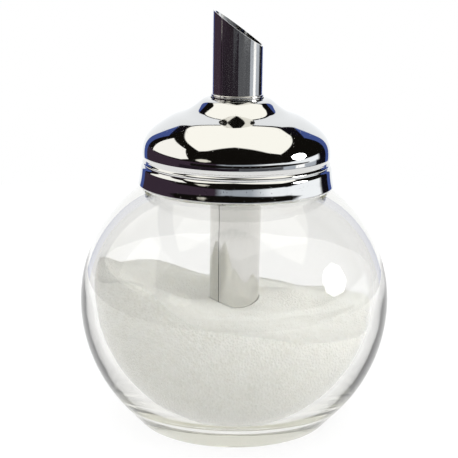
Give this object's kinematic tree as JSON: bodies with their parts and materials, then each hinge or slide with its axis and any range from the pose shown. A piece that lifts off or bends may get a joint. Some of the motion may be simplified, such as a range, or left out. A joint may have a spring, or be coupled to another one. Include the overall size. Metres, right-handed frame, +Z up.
{
  "type": "sugar pourer",
  "caption": "Globe-shaped glass sugar pourer with a domed screw-on metal lid and a slant-cut dosing tube standing through the lid.",
  "frame": {"origin": "centre of the flat ring that the jar stands on", "axes": "+Z up along the axis that jar, lid and tube share; the spout's slant cut falls towards +X, so its tip stands at -X; the front faces -Y"},
  "size_m": [0.09, 0.09, 0.1201],
  "materials": {
    "glass": "clear pressed soda-lime glass with a faint green tint",
    "sugar": "dry white granulated sugar",
    "chrome": "polished bright chrome plate on stamped steel",
    "steel": "bright rolled steel tube with fine pitting",
    "spring_steel": "plain spring steel",
    "seal": "translucent silicone",
    "plastic": "moulded white polypropylene"
  },
  "bodies": {
    "jar": {"glass_jar": "glass", "sugar_fill": "sugar"},
    "gasket": {"sealing_gasket": "seal"},
    "liner": {"liner_disc": "plastic"},
    "lid": {"lid_shell": "chrome", "threaded_insert": "plastic", "dosing_tube": "steel", "tube_bush": "plastic", "retaining_washer": "spring_steel"}
  },
  "joints": [
    {"name": "lid_lift", "type": "slide", "parent": "jar", "child": "gasket", "axis": [0, 0, 1], "range_m": [0, 0.075]},
    {"name": "thread_rise", "type": "slide", "parent": "gasket", "child": "liner", "axis": [0, 0, 1], "range_m": [0, 0.005]},
    {"name": "lid_turn", "type": "hinge", "parent": "liner", "child": "lid", "pos_m": [0, 0, 0.081], "axis": [0, 0, 1], "range_deg": [0, 450]}
  ],
  "couplings": [
    {"joint": "thread_rise", "follows": "lid_turn", "m_per_rad": 0.00063662}
  ]
}
